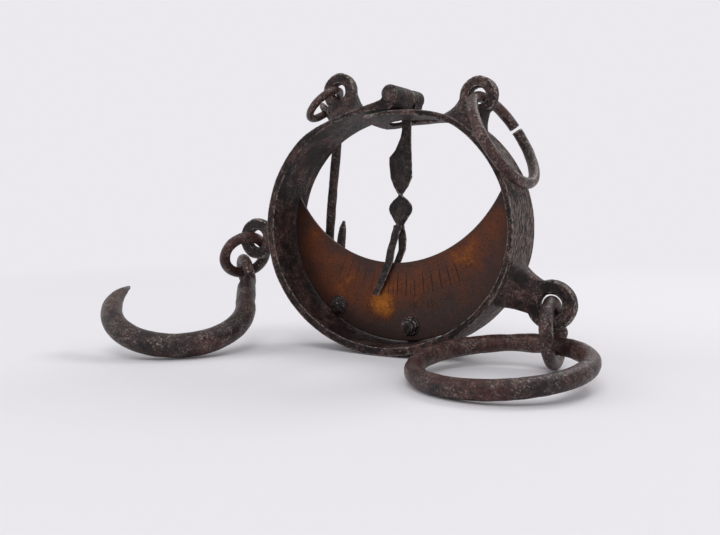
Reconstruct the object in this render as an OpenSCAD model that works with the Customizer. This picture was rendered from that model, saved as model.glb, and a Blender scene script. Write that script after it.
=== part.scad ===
// Round spring balance.
// Two lugs on the left and right carry heavy loads, the two smaller ones on
// top carry light loads. Pulling them apart opens the flat spring hoop, and
// its slotted tongue then swings the pointer along the crescent dial.
// Millimetres. X runs to the right along the dial, Y to the back, Z up.
// The origin is where the hoop stands on the ground, below its middle.

/* [Hoop] */
// Half of the hoop's width, outside
hoop_rx = 63.7; // [50:0.1:90]
// Half of the hoop's height, outside
hoop_rz = 57.8; // [45:0.1:85]
// Width of the flat band
band_width = 27.6; // [18:0.1:40]
// Thickness of the band at the bottom and on the left
band_thick = 4.2; // [2:0.1:6]
// Thickness of the band on the right and of the tongue
band_thin = 2.9; // [1.5:0.1:5]
// Angle below the right side at which the band starts to bend as a spring
flex_angle = 76; // [60:1:85]

/* [Barrel] */
// Distance of the barrel from the middle, to the right
barrel_x = 6.2; // [0:0.1:15]
// Height of the barrel
barrel_z = 117.8; // [100:0.1:140]
// Outside radius of the rolled barrel
barrel_r = 3.7; // [3:0.1:6]
// Radius of the pivot pin
pin_r = 1.7; // [1:0.1:2.5]
// Running clearance between the pointer's eye and the pin
pin_play = 0.05; // [0.02:0.01:0.1]

/* [Tongue] */
// Left end of the slot in the tongue
slot_left = -4; // [-15:0.1:2]
// Right end of the slot in the tongue
slot_right = 21; // [12:0.1:30]
// Width of the slot
slot_width = 6.4; // [5:0.1:10]

/* [Pointer and dial] */
// Distance of the pointer's plane behind the middle of the band
pointer_y = 5; // [0:0.1:8]
// Thickness of the pointer's blade
pointer_thick = 2.2; // [1.5:0.1:3]
// Thickness of each prong of the fork
prong_thick = 1.4; // [1:0.1:2]
// Gap between a prong and the dial
prong_gap = 1.1; // [0.4:0.1:2]
// Thickness of the dial
dial_thick = 1.4; // [0.8:0.1:2.5]
// Radius of the dial's upper edge
dial_top_r = 60.55; // [50:0.05:80]
// Gap between the dial's lower edge and the band
dial_play = 0.35; // [0.3:0.05:1]

/* [Lugs] */
// Radius of the round heads of the two heavy lugs
heavy_head_r = 10.4; // [7:0.1:12]
// Radius of the round heads of the two light lugs
light_head_r = 9.2; // [7:0.1:12]
// Thickness of the lugs' plates
lug_thick = 4.2; // [3:0.1:6]
// Radius of the holes for the heavy links
heavy_hole_r = 4.8; // [4:0.1:6]
// Radius of the hole for the small ring
small_hole_r = 4.0; // [3:0.1:6]
// Radius of the hole for the open ring
open_hole_r = 4.4; // [3:0.1:6]
// Half length of a lug's foot along the band
foot_half = 10.5; // [8:0.1:14]

/* [Links and rings] */
// Radius of the heavy hook's link, to the middle of its wire
hook_link_r = 11; // [9:0.1:16]
// Wire radius of the heavy hook's link
hook_link_wire = 2.9; // [2:0.1:4]
// Radius of the big ring's link, to the middle of its wire
ring_link_r = 12.5; // [9:0.1:16]
// Wire radius of the big ring's link
ring_link_wire = 2.95; // [2:0.05:4]
// Radius of the big ring, to the middle of its wire
big_ring_r = 33; // [25:0.1:45]
// Wire radius of the big ring
big_ring_wire = 4; // [3:0.1:5]
// Radius of the small ring, to the middle of its wire
small_ring_r = 9.2; // [7:0.1:12]
// Wire radius of the small ring
small_ring_wire = 2; // [1.5:0.1:2.5]
// Radius of the open ring, to the middle of its wire
open_ring_r = 21.5; // [15:0.1:30]
// Wire radius of the open ring
open_ring_wire = 2.5; // [1.5:0.1:3.5]
// Gap between the ends of the open ring
open_ring_gap = 1.2; // [0.3:0.1:3]

/* [Hooks] */
// Radius of the heavy hook's bend, to the middle of its bar
heavy_bend_r = 32.1; // [25:0.1:40]
// Lean of the heavy hook from upright
heavy_hook_lean = 63.1; // [0:0.1:80]
// Radius of the light hook's bend, to the middle of its bar
light_bend_r = 6.85; // [5:0.05:10]
// Thickest radius of the light hook's bar
light_bar_r = 2.5; // [2:0.1:3]

/* [Hidden] */

iron = [0.27, 0.22, 0.20];
worn_iron = [0.36, 0.32, 0.30];
brass = [0.66, 0.45, 0.27];

$fn = 96;
overcut = 1;

half_band = band_width / 2;
// Upright cuts through the top of the hoop start here and are this high
cut_low = 1.5 * hoop_rz;
cut_high = hoop_rz;
// The curved band is drawn with one straight piece per this many degrees
band_step = 3;

// Barrel and pivot
eye_gap = 3.4;
eye_thick = 2.8;
barrel_bore_r = pin_r + 0.02;
eye_bore_r = pin_r + pin_play;
pin_head_r = 2.9;
pin_head_h = 1.1;

// The tongue lies this far inside the hoop's oval under the barrel
tongue_drop = 4.9;
tongue_extra = 1;
// Its end is cut square, with round corners
tongue_end_x = -10;
tongue_corner = 5;
tongue_last_angle = 108;

// Dial: a circle cuts the crescent out of a plate that fills the hoop
dial_x = -2.6;
dial_top_z = 102.2;
dial_inset = band_thick + dial_play;
dial_front = pointer_y - dial_thick / 2;
dial_back = pointer_y + dial_thick / 2;
stud_shank_r = 1.6;
stud_hole_r = stud_shank_r + 0.02;
stud_head_r = 4.8;
stud_head_h = 3.6;

// Brackets behind the dial, with the angle of each foot on the hoop
bracket_left_angle = 232.5;
bracket_right_angle = 277.2;
// The studs lie in line with the brackets, this far below the oval
left_stud_depth = 9.8;
right_stud_depth = 12.6;
dial_left_stud = inside(bracket_left_angle, left_stud_depth);
dial_right_stud = inside(bracket_right_angle, right_stud_depth);
bracket_thick = 1.8;
bracket_half = 3;
bracket_depth = 12.6;
rivet_r = 1.2;
rivet_hole_r = rivet_r + 0.02;
rivet_head_r = 2.2;
rivet_head_h = 1;
rivet_sink = 2.6;
rivet_y = 10.2;

// Lugs: angle of the foot's middle on the hoop, and the hole as [x, z]
left_foot_angle = 184.7;
left_hole = rim(left_foot_angle) + [-16.914, -0.564];
right_foot_angle = -24.3;
right_hole = rim(right_foot_angle) + [17.544, -7.815];
top_left_foot_angle = 112;
top_left_hole = rim(top_left_foot_angle) + [-4.238, 11.609];
top_right_foot_angle = 53.5;
top_right_hole = rim(top_right_foot_angle) + [5.109, 10.636];
neck_half = 7.2;
hole_chamfer = 0.9;

// Links and rings: middle, then the direction and the rise of the axis
hook_link_at = beside(left_hole, [-7.46, -1.93, -8.7]);
hook_link_turn = [150.3, 29.7];
ring_link_at = beside(right_hole, [2.23, -5.51, -10.67]);
ring_link_turn = [5.1, 4.2];
big_ring_at = ring_link_at + [-10.13, -32.49, -8.13];
big_ring_turn = [246.7, 84.2];
small_ring_at = beside(top_left_hole, [-6.81, -3.27, -5.58]);
small_ring_turn = [190.3, 48.2];
open_ring_at = beside(top_right_hole, [11.15, 0.57, -19.13]);
open_ring_turn = [176.8, -29.1];
open_ring_gap_angle = 251;

// Heavy hook: its own frame has X toward the point and Z up the shank
heavy_eye_at = hook_link_at + [-3.17, 4.25, -9.6];
heavy_eye_turn = [-125.6, -10.2];
heavy_hook_heading = 225;
heavy_eye_hole_r = 4.2;
heavy_eye_wire = 3;
heavy_eye_r = heavy_eye_hole_r + heavy_eye_wire;
heavy_bend_x = 35;
heavy_bend_z = -30.4;
heavy_bend_last = 219;
// The bend tightens by this much from this angle to its point
heavy_tip_inset = 1;
heavy_tip_from = 130;
// Bar radius along the bend, against the angle from the shank's foot
heavy_bar = [
    [0, 5.0], [20, 5.4], [45, 5.7], [75, 5.85], [110, 5.65],
    [140, 5.6], [165, 5.4], [185, 4.8], [200, 3.6], [211, 2.2],
    [219, 0.9]
];

// Light hook: its own frame has X toward the point and Z up the shank
light_eye_at = small_ring_at + [-4.04, 8.08, -2.44];
light_hook_heading = 95.7;
light_hook_lean = 6.1;
light_eye_r = 4;
light_eye_wire = 1.5;
light_eye_turn = [38, 38.4];
light_shank_x = 12.8;
light_neck_r = 7.5;
light_bend_z = -68.4;
light_tip_rise = 14.5;

// Shapes shared by several pieces

function ease(t) = let (c = min(max(t, 0), 1)) c * c * (3 - 2 * c);

// Point of the hoop's outer oval, as [x, z], and the direction out of it
function rim(a) = [hoop_rx * cos(a), hoop_rz + hoop_rz * sin(a)];
function rim_out(a) =
    let (v = [hoop_rz * cos(a), hoop_rx * sin(a)]) v / norm(v);
function inside(a, depth) = rim(a) - depth * rim_out(a);

// Point near a lug's hole, with the shift given as [x, y, z]
function beside(hole, shift) =
    [hole[0] + shift[0], shift[1], hole[1] + shift[2]];

// Depth of both faces of the left arm below the oval
function left_outer(a) =
    2.5 * ease((135 - a) / 28) - 2 * ease((104 - a) / 18);
function left_inner(a) = band_thick + 0.65 * ease((130 - a) / 25);

// Depth of both faces of the right arm below the oval
function right_outer(a) =
    tongue_drop * ease((a - 50) / 38) + tongue_extra * ease((a - 84) / 10);
function right_inner(a) = right_outer(a) + band_thick
    - (band_thick - band_thin) * ease((a + flex_angle) / 60);

// Draws a flat shape given as [x, z] with its thickness along Y
module upright(thick, middle = 0) {
    translate([0, middle, 0])
        rotate([90, 0, 0])
            linear_extrude(height = thick, center = true)
                children();
}

// Cylinder along Y between two depths
module along_y(r, from, to) {
    translate([0, from, 0])
        rotate([-90, 0, 0])
            cylinder(h = to - from, r = r);
}

// Places children on the oval, with Z pointing out of the hoop
module out_of(point, direction) {
    translate([point[0], 0, point[1]])
        rotate([0, atan2(direction[0], direction[1]), 0])
            children();
}

// Round ring about Z, optionally open, turned so that its axis rises by
// turn[1] and points toward turn[0]
module ring(radius, wire, at, turn, gap = 0, gap_angle = 0) {
    gap_turn = gap / radius * 180 / PI;
    translate(at)
        rotate([0, 90 - turn[1], turn[0]])
            rotate([0, 0, gap_angle + gap_turn / 2])
                rotate_extrude(angle = 360 - gap_turn)
                    translate([radius, 0])
                        circle(r = wire, $fn = 48);
}

// Round bar along a path of [x, z] points in the XZ plane
module bar(path, radii, sides) {
    last = len(path) - 1;
    normals = [
        for (i = [0:last])
            let (
                before = path[max(i - 1, 0)],
                after = path[min(i + 1, last)],
                run = (after - before) / norm(after - before)
            )
            [run[1], -run[0]]
    ];
    points = [
        for (i = [0:last])
            for (k = [0:sides - 1])
                let (
                    side = radii[i] * cos(360 * k / sides),
                    deep = radii[i] * sin(360 * k / sides)
                )
                [
                    path[i][0] + side * normals[i][0],
                    deep,
                    path[i][1] + side * normals[i][1]
                ]
    ];
    skin = [
        for (i = [0:last - 1])
            for (k = [0:sides - 1])
                let (
                    a = i * sides + k,
                    b = i * sides + (k + 1) % sides
                )
                each [[a, b + sides, b], [a, a + sides, b + sides]]
    ];
    first_cap = [for (k = [0:sides - 1]) k];
    last_cap = [for (k = [0:sides - 1]) last * sides + sides - 1 - k];
    polyhedron(points = points, faces = concat([first_cap], skin, [last_cap]));
}

// Hoop

left_angles = [92, for (a = [93:band_step:282]) a, 360 - flex_angle];
right_angles = [-flex_angle, for (a = [-75:band_step:105]) a, tongue_last_angle];

// The left arm's end rises into the barrel's underside
roll_points = [
    [barrel_x - 3.3, barrel_z - 2.4],
    [barrel_x, barrel_z - 1.9],
    [barrel_x + 1.8, barrel_z - 3.1],
    [barrel_x - 1, barrel_z - 4.7],
    [barrel_x - 4.2, barrel_z - 6.3]
];

module left_blank() {
    outer = [for (a = left_angles) inside(a, left_outer(a))];
    inner = [for (a = left_angles) inside(a, left_inner(a))];
    turned = [for (i = [len(outer) - 1:-1:0]) outer[i]];
    upright(band_width)
        polygon(concat(inner, turned, roll_points));
}

module right_blank() {
    outer = [for (a = right_angles) inside(a, right_outer(a))];
    inner = [for (a = right_angles) inside(a, right_inner(a))];
    turned = [for (i = [len(inner) - 1:-1:0]) inner[i]];
    upright(band_width)
        polygon(concat(outer, turned));
}

module hoop_left_arm() {
    color(iron)
    difference() {
        union() {
            left_blank();
            translate([barrel_x, 0, barrel_z])
                along_y(barrel_r, -half_band, half_band);
        }
        translate([barrel_x, 0, barrel_z])
            along_y(barrel_bore_r, -half_band - overcut, half_band + overcut);
        // Gap for the pointer's eye and stem
        translate([
            barrel_x - barrel_r - 0.4,
            pointer_y - eye_gap / 2,
            barrel_z - 3 * barrel_r
        ])
            cube([6 * barrel_r, eye_gap, 6 * barrel_r]);
        bracket_bore(bracket_left_angle);
        bracket_bore(bracket_right_angle);
    }
}

// Rounds the front or back corner of the tongue's end
module corner_cut(side) {
    translate([tongue_end_x + tongue_corner, side * (half_band - tongue_corner), cut_low])
        difference() {
            translate([-2 * tongue_corner, side > 0 ? 0 : -2 * tongue_corner, 0])
                cube([2 * tongue_corner, 2 * tongue_corner, cut_high]);
            translate([0, 0, -overcut])
                cylinder(h = cut_high + 2 * overcut, r = tongue_corner);
        }
}

module hoop_right_arm() {
    slot_r = slot_width / 2;
    color(iron)
    difference() {
        right_blank();
        // Slot for the pointer's stem
        translate([slot_left + slot_r, pointer_y, cut_low])
            cylinder(h = cut_high, r = slot_r);
        translate([slot_right - slot_r, pointer_y, cut_low])
            cylinder(h = cut_high, r = slot_r);
        translate([slot_left + slot_r, pointer_y - slot_r, cut_low])
            cube([slot_right - slot_left - slot_width, slot_width, cut_high]);
        // End of the tongue
        translate([tongue_end_x - half_band, -half_band - overcut, cut_low])
            cube([half_band, band_width + 2 * overcut, cut_high]);
        corner_cut(-1);
        corner_cut(1);
    }
}

// Lugs

// A lug's plate in its own frame: foot at the origin, hole up along Z
module lug_solid(height, hole_r, head_r) {
    steps = 8;
    low = -1.2;
    top = height - 6;
    levels = [for (i = [0:steps]) low + (top - low) * i / steps];
    lengths = [
        for (i = [0:steps])
            neck_half + (foot_half - neck_half) * pow(1 - i / steps, 2.4)
    ];
    depths = [
        for (i = [0:steps])
            lug_thick / 2
                + (half_band - 1.6 - lug_thick / 2) * pow(1 - i / steps, 2.4)
    ];
    face = concat(
        [for (i = [0:steps]) [lengths[i], levels[i]]],
        [for (i = [steps:-1:0]) [-lengths[i], levels[i]]]
    );
    edge = concat(
        [for (i = [0:steps]) [depths[i], levels[i]]],
        [for (i = [steps:-1:0]) [-depths[i], levels[i]]]
    );
    difference() {
        union() {
            intersection() {
                upright(band_width)
                    polygon(face);
                rotate([0, 0, 90])
                    upright(4 * foot_half)
                        polygon(edge);
            }
            translate([0, 0, height])
                along_y(head_r, -lug_thick / 2, lug_thick / 2);
            translate([-neck_half, -lug_thick / 2, top - 1])
                cube([2 * neck_half, lug_thick, 4]);
        }
        translate([0, 0, height]) {
            along_y(hole_r, -lug_thick, lug_thick);
            for (side = [-90, 90])
                rotate([side, 0, 0])
                    translate([0, 0, lug_thick / 2 - hole_chamfer])
                        cylinder(
                            h = 2 * hole_chamfer,
                            r1 = hole_r,
                            r2 = hole_r + 2 * hole_chamfer
                        );
        }
    }
}

module lug(foot, hole, hole_r, head_r) {
    color(worn_iron)
    difference() {
        out_of(foot, hole - foot)
            lug_solid(norm(hole - foot), hole_r, head_r);
        children();
    }
}

module heavy_lug_left() {
    lug(rim(left_foot_angle), left_hole, heavy_hole_r, heavy_head_r)
        left_blank();
}

module heavy_lug_right() {
    lug(rim(right_foot_angle), right_hole, heavy_hole_r, heavy_head_r)
        right_blank();
}

module light_lug_left() {
    depth = left_outer(top_left_foot_angle);
    foot = inside(top_left_foot_angle, depth);
    lug(foot, top_left_hole, small_hole_r, light_head_r)
        left_blank();
}

module light_lug_right() {
    depth = right_outer(top_right_foot_angle);
    foot = inside(top_right_foot_angle, depth);
    lug(foot, top_right_hole, open_hole_r, light_head_r)
        right_blank();
}

// Pin and pointer

module pivot_pin() {
    color(worn_iron)
    translate([barrel_x, 0, barrel_z]) {
        along_y(pin_r, -half_band - pin_head_h / 2, half_band + pin_head_h / 2);
        along_y(pin_head_r, -half_band - pin_head_h, -half_band);
        along_y(pin_head_r, half_band, half_band + pin_head_h);
    }
}

// Outline of the blade: stem, long swelling, waist, round swelling, waist
blade_left = [
    [3.8, 116], [3.8, 109], [3.6, 103.5], [2.7, 100], [-0.6, 94.4],
    [-4.1, 91.2], [-4.1, 87.5], [-3.4, 81.4], [-1.8, 77.7], [0.8, 74.6],
    [0.8, 74.2], [-1.9, 71.2], [-4, 69], [-4.5, 67], [-4, 65],
    [-2.5, 62.8], [0.5, 59], [-1.6, 56]
];
blade_right = [
    [2.7, 56], [2.2, 59], [5.3, 62.8], [7.2, 65], [7.7, 67],
    [7.2, 69], [5.3, 71.2], [2.4, 74.2], [2.4, 74.6], [5.4, 77.7],
    [7.2, 81.4], [6.9, 87.5], [6.7, 91.2], [6.5, 94.4], [6.4, 103.5],
    [7.2, 109], [7.3, 116]
];
front_prong = [
    [-1.6, 57], [-2.3, 52.5], [-4.1, 47.7], [-5.2, 42], [-8, 35.8],
    [-10.2, 30.9], [-12.8, 25], [-12.6, 23.8], [-10.8, 23.8], [-7, 30.9],
    [-4.5, 35.8], [-1.6, 42], [-0.7, 47.7], [0.9, 52.5], [2.7, 57]
];
back_prong = [
    [-1.6, 57], [-0.8, 52.5], [-0.6, 47.7], [-3, 42], [-6.8, 35.8],
    [-9.5, 30.9], [-12, 25], [-12.2, 23.8], [-11, 24.4], [-7, 30.9],
    [-4, 35.8], [0, 42], [2.5, 47.7], [2.9, 52.5], [2.7, 57]
];

module pointer() {
    prong_off = dial_thick / 2 + prong_gap + prong_thick / 2;
    fork_depth = 2 * prong_off + prong_thick;
    color(iron)
    difference() {
        union() {
            upright(pointer_thick, pointer_y)
                polygon(concat(blade_left, blade_right));
            upright(prong_thick, pointer_y - prong_off)
                polygon(front_prong);
            upright(prong_thick, pointer_y + prong_off)
                polygon(back_prong);
            // The prongs spread from this root
            upright(fork_depth, pointer_y)
                polygon([[-1.9, 54.4], [-1.6, 57], [0.2, 59.4], [2.5, 59.4],
                    [2.7, 57], [2.8, 54.4]]);
            translate([barrel_x, 0, barrel_z])
                along_y(
                    barrel_r,
                    pointer_y - eye_thick / 2,
                    pointer_y + eye_thick / 2
                );
        }
        translate([barrel_x, 0, barrel_z])
            along_y(eye_bore_r, -half_band, half_band);
    }
}

// Dial and what holds it

module at_stud(stud) {
    translate([stud[0], 0, stud[1]])
        children();
}

// The dial's plate reaches past both horns of the crescent
dial_angles = [for (a = [150:band_step:396]) a];

module dial_plate() {
    color(brass)
    difference() {
        upright(dial_thick, pointer_y)
            polygon([for (a = dial_angles) inside(a, dial_inset)]);
        translate([dial_x, 0, dial_top_z])
            along_y(dial_top_r, dial_front - overcut, dial_back + overcut, $fn = 180);
        for (stud = [dial_left_stud, dial_right_stud])
            at_stud(stud)
                along_y(stud_hole_r, dial_front - overcut, dial_back + overcut);
    }
}

// Stud with a turned head; rings is the number of grooves round the head
module stud(at, rings) {
    color(worn_iron)
    at_stud(at) {
        along_y(stud_shank_r, dial_front - 1, dial_back + bracket_thick + 0.6);
        translate([0, dial_front, 0])
            rotate([90, 0, 0])
                difference() {
                    intersection() {
                        cylinder(h = stud_head_h, r = stud_head_r);
                        translate([0, 0, -4.4])
                            sphere(r = stud_head_h + 4.4);
                    }
                    for (i = [1:1:rings])
                        translate([0, 0, i * stud_head_h / (rings + 1) - 0.2])
                            difference() {
                                cylinder(h = 0.4, r = stud_head_r + overcut);
                                cylinder(h = 0.4, r = stud_head_r - 0.9 - 0.5 * i);
                            }
                }
    }
}

module dial_stud_left() {
    stud(dial_left_stud, 0);
}

module dial_stud_right() {
    stud(dial_right_stud, 2);
}

// Frame on the band's inner face, with Z pointing into the hoop
module into_hoop(angle) {
    out_of(inside(angle, band_thick), -rim_out(angle))
        children();
}

module bracket_bore(angle) {
    into_hoop(angle)
        translate([0, rivet_y, -rivet_sink])
            cylinder(h = rivet_sink + overcut, r = rivet_hole_r);
}

// Angle piece: a foot on the band and an upright plate behind the dial
module bracket(angle, stud_point) {
    from = inside(angle, band_thick);
    rise = norm(stud_point - from) + 3.6;
    color(iron)
    difference() {
        into_hoop(angle) {
            translate([-bracket_half, dial_back, -1])
                cube([2 * bracket_half, bracket_thick, rise + 1]);
            translate([-bracket_half, dial_back, -1])
                cube([2 * bracket_half, bracket_depth - dial_back, 1 + bracket_thick]);
        }
        left_blank();
        at_stud(stud_point)
            along_y(stud_hole_r, dial_back - overcut, dial_back + bracket_thick + overcut);
        into_hoop(angle)
            translate([0, rivet_y, -rivet_sink])
                cylinder(h = 10, r = rivet_hole_r);
    }
}

module bracket_rivet(angle) {
    color(worn_iron)
    into_hoop(angle)
        translate([0, rivet_y, 0]) {
            translate([0, 0, -rivet_sink])
                cylinder(h = rivet_sink + bracket_thick + rivet_head_h / 2, r = rivet_r);
            translate([0, 0, bracket_thick])
                cylinder(h = rivet_head_h, r1 = rivet_head_r, r2 = rivet_head_r * 0.6);
        }
}

module dial_bracket_left() {
    bracket(bracket_left_angle, dial_left_stud);
}

module dial_bracket_right() {
    bracket(bracket_right_angle, dial_right_stud);
}

module bracket_rivet_left() {
    bracket_rivet(bracket_left_angle);
}

module bracket_rivet_right() {
    bracket_rivet(bracket_right_angle);
}

// Links, rings and hooks

module heavy_hook_link() {
    color(worn_iron)
        ring(hook_link_r, hook_link_wire, hook_link_at, hook_link_turn);
}

module heavy_ring_link() {
    color(worn_iron)
        ring(ring_link_r, ring_link_wire, ring_link_at, ring_link_turn);
}

module heavy_ring() {
    color(worn_iron)
        ring(big_ring_r, big_ring_wire, big_ring_at, big_ring_turn);
}

module light_hook_link() {
    color(iron)
        ring(small_ring_r, small_ring_wire, small_ring_at, small_ring_turn);
}

module light_ring() {
    color(iron)
        ring(
            open_ring_r,
            open_ring_wire,
            open_ring_at,
            open_ring_turn,
            open_ring_gap,
            open_ring_gap_angle
        );
}

module heavy_hook() {
    steps = [for (t = [-2:6:heavy_bend_last - 2]) t, heavy_bend_last];
    bend = [
        for (t = steps)
            let (
                share = (t - heavy_tip_from) / (heavy_bend_last - heavy_tip_from),
                r = heavy_bend_r - heavy_tip_inset * ease(share)
            )
            [heavy_bend_x - r * cos(t), heavy_bend_z - r * sin(t)]
    ];
    shank = [
        [0, -heavy_eye_r + 1], [0.3, -heavy_eye_r - 3], [1, -15], [1.9, -22]
    ];
    radii = concat([3.2, 3.8, 4.4, 4.7], [for (t = steps) lookup(t, heavy_bar)]);
    color(iron) {
        ring(heavy_eye_r, heavy_eye_wire, heavy_eye_at, heavy_eye_turn);
        translate(heavy_eye_at)
            rotate([0, 0, heavy_hook_heading])
                rotate([heavy_hook_lean, 0, 0])
                    bar(concat(shank, bend), radii, 20);
    }
}

module light_hook() {
    neck = [
        for (t = [90:-15:0])
            [
                light_shank_x - light_neck_r + light_neck_r * cos(t),
                -light_neck_r - 4 + light_neck_r * sin(t)
            ]
    ];
    bend = [
        for (t = [0:15:180])
            [
                light_shank_x + light_bend_r - light_bend_r * cos(t),
                light_bend_z - light_bend_r * sin(t)
            ]
    ];
    tip_x = light_shank_x + 2 * light_bend_r;
    tip = [
        [tip_x + 0.1, light_bend_z + 0.4 * light_tip_rise],
        [tip_x + 0.5, light_bend_z + 0.75 * light_tip_rise],
        [tip_x + 1.2, light_bend_z + light_tip_rise]
    ];
    shank = [[light_shank_x - 0.4, -26], [light_shank_x - 0.6, -40], [light_shank_x - 0.3, -55]];
    path = concat([[light_eye_r, -1.2]], neck, shank, bend, tip);
    thick = [
        for (i = [0:len(path) - 1])
            let (left = len(path) - 1 - i)
            left == 0 ? 0.8
            : left == 1 ? 1.5
            : left == 2 ? 2.1
            : i == 0 ? 1.6
            : i == 1 ? 2
            : light_bar_r
    ];
    color(iron) {
        ring(light_eye_r, light_eye_wire, light_eye_at, light_eye_turn);
        translate(light_eye_at)
            rotate([0, 0, light_hook_heading])
                rotate([light_hook_lean, 0, 0])
                    bar(path, thick, 16);
    }
}

hoop_left_arm();
hoop_right_arm();
heavy_lug_left();
heavy_lug_right();
light_lug_left();
light_lug_right();
pivot_pin();
pointer();
dial_plate();
dial_stud_left();
dial_stud_right();
dial_bracket_left();
dial_bracket_right();
bracket_rivet_left();
bracket_rivet_right();
heavy_hook_link();
heavy_hook();
heavy_ring_link();
heavy_ring();
light_hook_link();
light_hook();
light_ring();
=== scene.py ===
"""Looks of the round spring balance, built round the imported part."""

import logging
import math
from dataclasses import dataclass
from enum import Enum
from typing import Callable, Optional, Sequence

import bmesh
import bpy
import numpy as np
from mathutils import Matrix, Vector, noise

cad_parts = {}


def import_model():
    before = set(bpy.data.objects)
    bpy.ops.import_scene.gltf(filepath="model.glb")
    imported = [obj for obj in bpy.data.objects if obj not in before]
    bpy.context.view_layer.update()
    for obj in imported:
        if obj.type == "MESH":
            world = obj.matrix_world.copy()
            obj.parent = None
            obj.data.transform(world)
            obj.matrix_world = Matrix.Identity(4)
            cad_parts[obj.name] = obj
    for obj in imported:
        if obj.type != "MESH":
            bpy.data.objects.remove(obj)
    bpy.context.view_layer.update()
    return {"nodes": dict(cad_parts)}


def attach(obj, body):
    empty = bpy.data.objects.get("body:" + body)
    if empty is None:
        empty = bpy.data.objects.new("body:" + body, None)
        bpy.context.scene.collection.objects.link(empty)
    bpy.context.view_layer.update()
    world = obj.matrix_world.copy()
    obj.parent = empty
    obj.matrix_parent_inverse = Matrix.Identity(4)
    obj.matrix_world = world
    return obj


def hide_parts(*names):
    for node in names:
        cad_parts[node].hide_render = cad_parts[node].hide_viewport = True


LOG = logging.getLogger("balance")
MM = 0.001
XZ = tuple[float, float]
XYZ = tuple[float, float, float]
BMesh = bmesh.types.BMesh
Mesh = bpy.types.Mesh
Material = bpy.types.Material
Node = bpy.types.Node
Socket = bpy.types.NodeSocket
Tree = bpy.types.NodeTree


class Body(Enum):
    """Bodies that pieces ride on."""

    FRAME = "frame"
    RIGHT_ARM = "right_arm"
    POINTER = "pointer"
    HOOK_LINK = "heavy_hook_link"
    HOOK = "heavy_hook"
    RING_LINK = "heavy_ring_link"
    RING = "heavy_ring"
    SMALL_RING = "light_hook_link"
    LIGHT_HOOK = "light_hook"
    OPEN_RING = "light_ring"


class Slot(Enum):
    """Names of material slots."""

    SPRING = "spring_iron"
    FORGED = "forged_iron"
    WORN = "worn_iron"
    BRASS = "dial_brass"


# Numbers


def ease(t: float) -> float:
    """Smooth step from 0 to 1."""
    c = min(max(t, 0.0), 1.0)
    return c * c * (3 - 2 * c)


def lookup(table: Sequence[tuple[float, float]], x: float) -> float:
    """Value of a table at x, straight between its entries.

    Args:
        table: Pairs of place and value, in rising order of place.
        x: The place.

    Returns:
        The value.
    """
    return float(np.interp(x, [p for p, _ in table], [v for _, v in table]))


def bell(x: float) -> float:
    """Bell curve of height 1 round 0."""
    return math.exp(-(x**2))


def arc(middle: XZ, radius: float, turns: Sequence[float]) -> list[XZ]:
    """Points on a circle, at angles in radians."""
    return [(middle[0] + radius * math.cos(t), middle[1] + radius * math.sin(t)) for t in turns]


def linear(code: str) -> tuple[float, float, float, float]:
    """Turns an sRGB hex colour into the linear colour that shaders take."""
    values = [int(code[i : i + 2], 16) / 255 for i in (1, 3, 5)]
    out = [v / 12.92 if v <= 0.04045 else ((v + 0.055) / 1.055) ** 2.4 for v in values]
    return (out[0], out[1], out[2], 1.0)


# The hoop's oval, in mm

HOOP_RX = 63.7
HOOP_RZ = 57.8
HALF_BAND = 13.8
BAND = 4.2
BAND_THIN = 2.9
FLEX_ANGLE = 76.0
BARREL = (6.2, 117.8)
POINTER_Y = 5.0
BARREL_REACH = 4.8
# Share of the forging grain by distance from the hoop's middle: inner face, outer face
GRAIN_SHARE = ((57.5, 0.25), (60.0, 1.0))
# Length and width of one line of that grain
GRAIN_SIZE = (14, 1.3)
# Distances from the hoop's middle between which the outer face starts
OUTER_FACE = (59.5, 60.3)


def rim(a: float) -> Vector:
    """Point of the hoop's outer oval at an angle in degrees."""
    t = math.radians(a)
    return Vector((HOOP_RX * math.cos(t), 0, HOOP_RZ + HOOP_RZ * math.sin(t)))


def rim_out(a: float) -> Vector:
    """Direction out of the hoop at an angle in degrees."""
    t = math.radians(a)
    return Vector((HOOP_RZ * math.cos(t), 0, HOOP_RX * math.sin(t))).normalized()


def inside(a: float, depth: float) -> Vector:
    """Point that lies a depth below the oval."""
    return rim(a) - rim_out(a) * depth


def left_depths(a: float) -> tuple[float, float]:
    """Depth of the left arm's outer and inner face below the oval."""
    outer = 2.5 * ease((135 - a) / 28) - 2 * ease((104 - a) / 18)
    return outer, BAND + 0.65 * ease((130 - a) / 25)


def right_depths(a: float) -> tuple[float, float]:
    """Depth of the right arm's outer and inner face below the oval."""
    outer = 4.9 * ease((a - 50) / 38) + ease((a - 84) / 10)
    inner = outer + BAND - (BAND - BAND_THIN) * ease((a + FLEX_ANGLE) / 60)
    return outer, inner - 0.9 * ease((a - 60) / 30)


def arm_outline(
    first: float, last: float, depths: Callable[[float], tuple[float, float]]
) -> list[XZ]:
    """Closed outline of an arm in its upright plane.

    Args:
        first: Angle of its first end in degrees.
        last: Angle of its last end.
        depths: Depth of both faces at an angle.

    Returns:
        Points as x and z.
    """
    angles = np.linspace(first, last, int(last - first) + 1)
    inner = [inside(a, depths(a)[1]) for a in angles]
    outer = [inside(a, depths(a)[0]) for a in angles[::-1]]
    return [(p.x, p.z) for p in inner + outer]


# Mesh tools


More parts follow.
